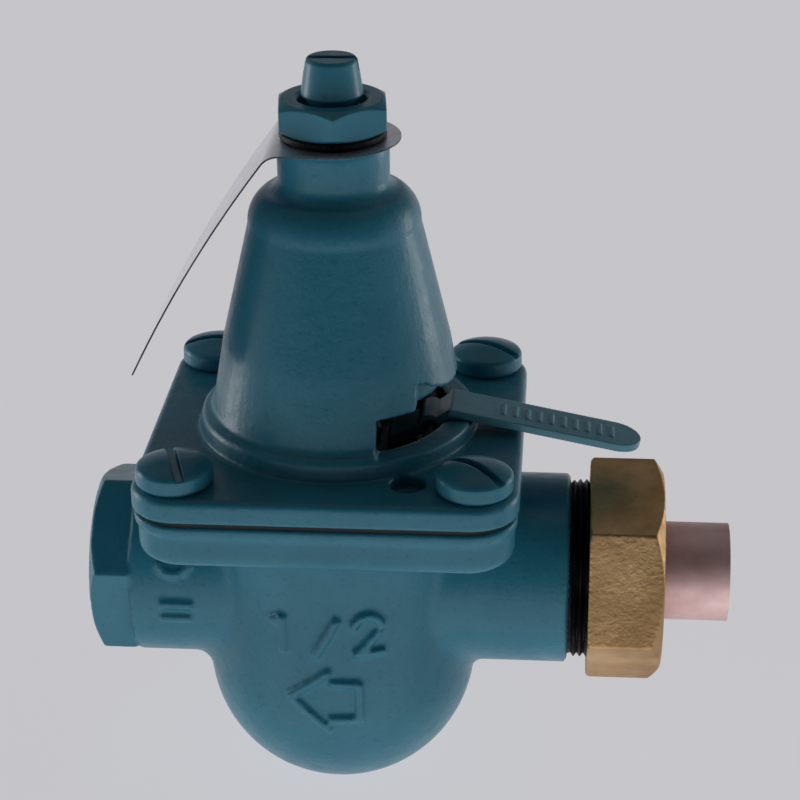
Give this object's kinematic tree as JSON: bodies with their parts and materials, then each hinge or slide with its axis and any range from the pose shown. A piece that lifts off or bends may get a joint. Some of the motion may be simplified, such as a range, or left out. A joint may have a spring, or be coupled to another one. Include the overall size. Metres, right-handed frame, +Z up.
{
  "type": "pressure relief valve",
  "caption": "Feed-water pressure reducing and relief valve: conical spring cage, square bolted cover, side fill lever, threaded outlet and union solder inlet.",
  "frame": {"origin": "centre of the outlet's mouth, on the port axis", "axes": "+X from the outlet to the inlet along the port axis, +Z up along the spring cage and adjusting screw"},
  "size_m": [0.1185, 0.0684, 0.1424],
  "materials": {
    "painted_casting": "gloss teal enamel over rough castings and plain hardware",
    "diaphragm_rubber": "matt black",
    "black_steel": "dark satin",
    "tag_sheet": "bright rolled sheet",
    "steel": "satin",
    "brass_internal": "machined",
    "plastic_poppet": "moulded",
    "cast_brass": "dull cast and machined",
    "copper_tail": "bare copper tube"
  },
  "bodies": {
    "casing": {"valve_body": "painted_casting", "bonnet": "painted_casting", "diaphragm": "diaphragm_rubber", "cover_screws": "painted_casting", "lock_washer": "black_steel", "name_tag": "tag_sheet", "lever_pin": "black_steel", "seat_ring": "brass_internal", "seat_o_ring": "diaphragm_rubber", "spring_retainer": "brass_internal", "strainer_screen": "steel", "check_seat": "brass_internal", "check_guide": "brass_internal", "check_spring": "steel", "union_tailpiece": "copper_tail", "union_gasket": "diaphragm_rubber", "range_spring": "steel", "return_spring": "steel"},
    "advance": {"spring_button": "steel"},
    "screw": {"adjusting_screw": "painted_casting"},
    "nut": {"lock_nut": "painted_casting"},
    "lever": {"fill_lever": "painted_casting"},
    "stem_group": {"stem": "brass_internal", "pressure_plate": "steel", "diaphragm_washer": "steel", "diaphragm_nut": "brass_internal", "valve_disc": "diaphragm_rubber", "disc_holder": "brass_internal", "holder_nut": "brass_internal"},
    "poppet": {"check_poppet": "plastic_poppet"},
    "union": {"union_nut": "cast_brass"}
  },
  "joints": [
    {"name": "screw_turn", "type": "hinge", "parent": "advance", "child": "screw", "pos_m": [0.0456, 0, 0.0989], "axis": [0, 0, 1], "range_deg": [-720, 720]},
    {"name": "screw_advance", "type": "slide", "parent": "casing", "child": "advance", "axis": [0, 0, 1], "range_m": [-0.0039, 0.0039], "deforming": ["range_spring"]},
    {"name": "lock_nut_turn", "type": "hinge", "parent": "casing", "child": "nut", "pos_m": [0.0456, 0, 0.0893], "axis": [0, 0, 1], "range_deg": [0, 60]},
    {"name": "lever_lift", "type": "hinge", "parent": "casing", "child": "lever", "pos_m": [0.0628, 0, 0.0307], "axis": [0, -1, 0], "range_deg": [0, 18]},
    {"name": "stem_travel", "type": "slide", "parent": "casing", "child": "stem_group", "axis": [0, 0, 1], "range_m": [-0.0022, 0], "deforming": ["diaphragm", "return_spring"]},
    {"name": "check_travel", "type": "slide", "parent": "casing", "child": "poppet", "axis": [1, 0, 0], "range_m": [-0.003, 0], "stiffness_N_per_m": 60, "springref_m": 0.001, "deforming": ["check_spring"]},
    {"name": "union_nut_turn", "type": "hinge", "parent": "casing", "child": "union", "pos_m": [0.0989, 0, 0], "axis": [1, 0, 0], "range_deg": [-60, 0]}
  ],
  "couplings": [
    {"joint": "screw_turn", "follows": "screw_advance", "rad_per_m": 3222.1},
    {"joint": "lever_lift", "follows": "stem_travel", "rad_per_m": -142.79}
  ]
}
